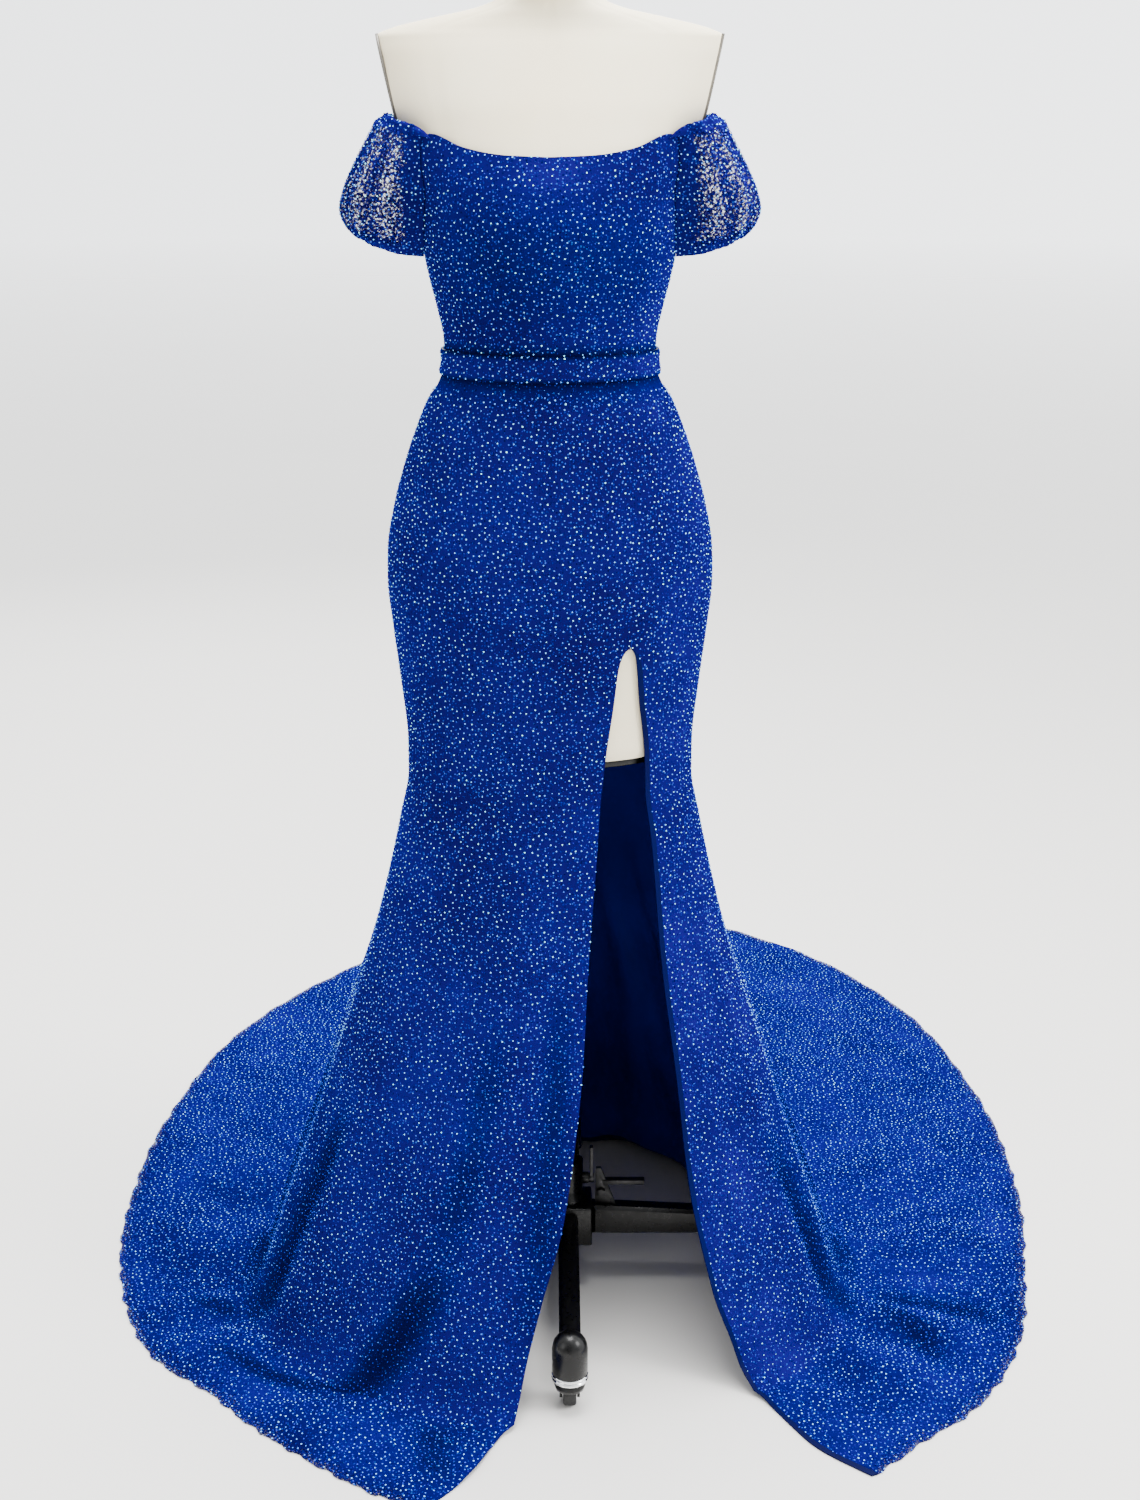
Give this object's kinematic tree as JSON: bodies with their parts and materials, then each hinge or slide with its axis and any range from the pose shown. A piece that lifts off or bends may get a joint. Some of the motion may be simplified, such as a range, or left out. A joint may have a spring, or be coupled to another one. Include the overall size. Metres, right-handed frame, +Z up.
{
  "type": "evening gown on a dress form stand",
  "caption": "Off-shoulder beaded mermaid gown with puff sleeves, belt, thigh slit and spread train, worn by a limbless dress form on a cast caster stand.",
  "frame": {"origin": "centre of the bottom of the bounding box, on the floor", "axes": "+Z up, -Y towards the front of the gown, +X towards the wearer's left, where the slit is"},
  "size_m": [1.1928, 1.665, 1.5553],
  "materials": {
    "beaded_cloth": "royal blue net on satin, closely set with small glass beads",
    "beaded_net": "single layer of sheer royal blue net with small glass beads",
    "satin_lining": "smooth dark royal blue satin",
    "form_linen": "cream linen cover, stretched smooth",
    "form_plate": "grey brown enamel",
    "zip_metal": "blue lacquered metal",
    "stand_iron": "gloss black stove enamel",
    "stand_steel": "dulled steel",
    "chrome": "bright chrome plate",
    "wheel_rubber": "dark hard rubber"
  },
  "bodies": {
    "root": {"skirt_front": "beaded_cloth", "skirt_front_left": "beaded_cloth", "slit_facing": "satin_lining", "skirt_back_right": "beaded_cloth", "skirt_back_left": "beaded_cloth", "lining_right": "satin_lining", "lining_left": "satin_lining", "bodice_front": "beaded_cloth", "bodice_back_right": "beaded_cloth", "bodice_back_left": "beaded_cloth", "belt": "beaded_cloth", "sleeve_left": "beaded_net", "sleeve_right": "beaded_net", "zip_slider": "zip_metal", "form_torso": "form_linen", "form_arm_plate_left": "form_plate", "form_arm_plate_right": "form_plate", "form_neck_cap": "form_plate", "form_bottom_plate": "stand_iron", "stand_hub": "stand_iron", "leg_front": "stand_iron", "caster_ring_front": "chrome", "leg_left": "stand_iron", "caster_ring_left": "chrome", "leg_back": "stand_iron", "caster_ring_back": "chrome", "leg_right": "stand_iron", "caster_ring_right": "chrome", "stand_pole": "stand_iron", "clamp_collar": "stand_iron", "lock_bracket": "stand_steel"},
    "swivel_front": {"caster_fork_front": "stand_iron"},
    "wheel_front": {"caster_wheel_front": "wheel_rubber"},
    "swivel_left": {"caster_fork_left": "stand_iron"},
    "wheel_left": {"caster_wheel_left": "wheel_rubber"},
    "swivel_back": {"caster_fork_back": "stand_iron"},
    "wheel_back": {"caster_wheel_back": "wheel_rubber"},
    "swivel_right": {"caster_fork_right": "stand_iron"},
    "wheel_right": {"caster_wheel_right": "wheel_rubber"},
    "clamp_lever": {"clamp_lever": "stand_steel"},
    "zip_tab": {"zip_tab": "zip_metal"}
  },
  "joints": [
    {"name": "swivel_front", "type": "hinge", "parent": "root", "child": "swivel_front", "pos_m": [-0.01531, -0.65352, 0.037], "axis": [0, 0, 1], "continuous": true},
    {"name": "roll_front", "type": "hinge", "parent": "swivel_front", "child": "wheel_front", "pos_m": [-0.01531, -0.64452, 0.016], "axis": [-1, 0, 0], "continuous": true},
    {"name": "swivel_left", "type": "hinge", "parent": "root", "child": "swivel_left", "pos_m": [0.25469, -0.38352, 0.037], "axis": [0, 0, 1], "continuous": true},
    {"name": "roll_left", "type": "hinge", "parent": "swivel_left", "child": "wheel_left", "pos_m": [0.25717, -0.37487, 0.016], "axis": [-0.9613, 0.2756, 0], "continuous": true},
    {"name": "swivel_back", "type": "hinge", "parent": "root", "child": "swivel_back", "pos_m": [-0.01531, -0.11352, 0.037], "axis": [0, 0, 1], "continuous": true},
    {"name": "roll_back", "type": "hinge", "parent": "swivel_back", "child": "wheel_back", "pos_m": [-0.01436, -0.10457, 0.016], "axis": [-0.9945, 0.1045, 0], "continuous": true},
    {"name": "swivel_right", "type": "hinge", "parent": "root", "child": "swivel_right", "pos_m": [-0.28531, -0.38352, 0.037], "axis": [0, 0, 1], "continuous": true},
    {"name": "roll_right", "type": "hinge", "parent": "swivel_right", "child": "wheel_right", "pos_m": [-0.28733, -0.37475, 0.016], "axis": [-0.9744, -0.225, 0], "continuous": true},
    {"name": "clamp_turn", "type": "hinge", "parent": "root", "child": "clamp_lever", "pos_m": [0.01299, -0.38352, 0.1393], "axis": [1, 0, 0], "range_deg": [-90, 90]},
    {"name": "zip_tab_lift", "type": "hinge", "parent": "root", "child": "zip_tab", "pos_m": [-0.03731, -0.27709, 1.2906], "axis": [1, 0, 0], "range_deg": [0, 160]}
  ]
}
